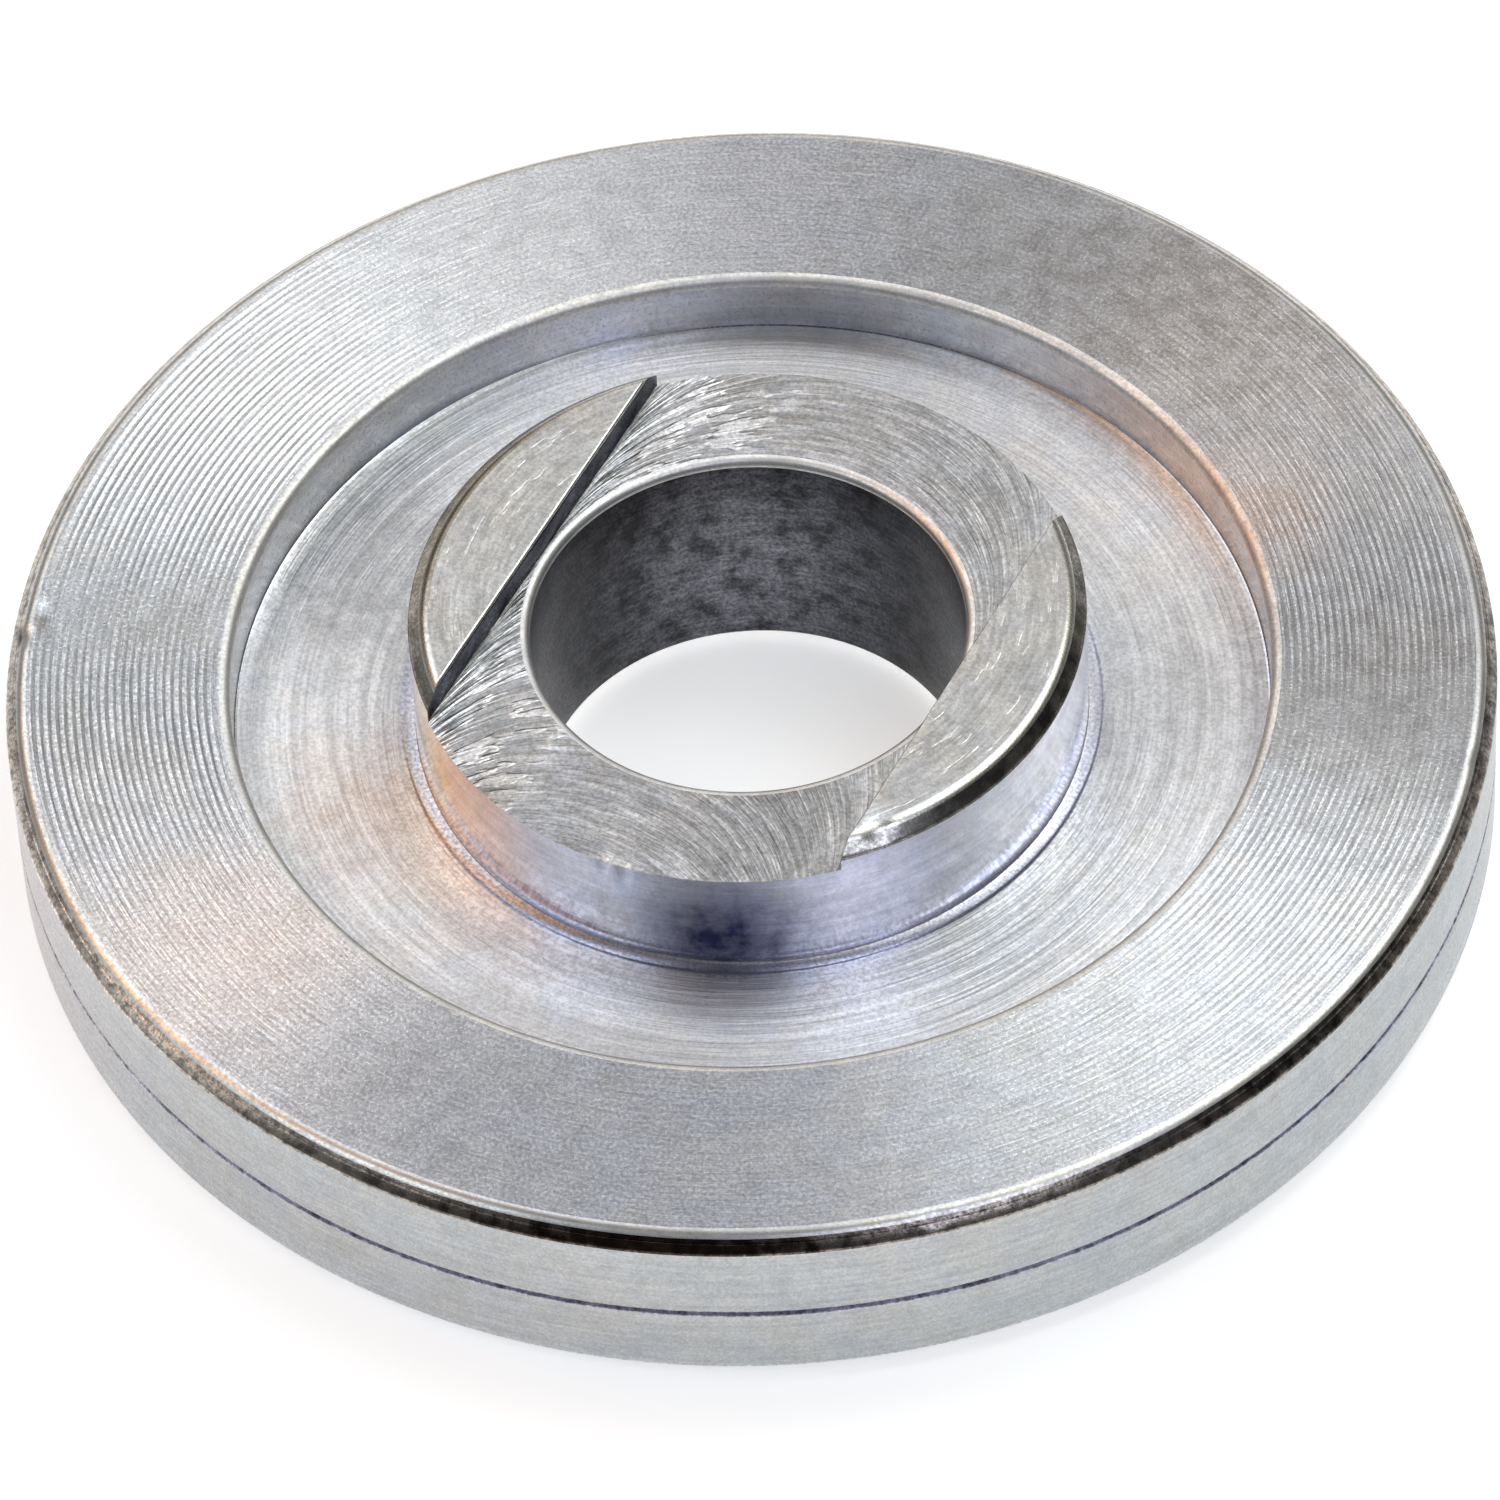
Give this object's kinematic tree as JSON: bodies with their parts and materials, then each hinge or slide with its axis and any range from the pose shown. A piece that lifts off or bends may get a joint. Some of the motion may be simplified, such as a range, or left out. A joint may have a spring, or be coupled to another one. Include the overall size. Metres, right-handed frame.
{
  "type": "spindle flange collar",
  "caption": "Turned steel flange collar with a plain bore, a clamping ring, a recess and a slotted pilot hub that leaves D-shaped ears.",
  "frame": {"origin": "centre of the bore at the back face", "axes": "+Z along the bore from the back face to the hub, +Y along the milled slot"},
  "size_m": [0.049, 0.049, 0.0098],
  "materials": {
    "zinc_plated_steel": "turned and milled steel with bright zinc plating, satin with visible tool marks"
  },
  "bodies": {
    "root": {"flange_collar": "zinc_plated_steel"}
  },
  "joints": []
}
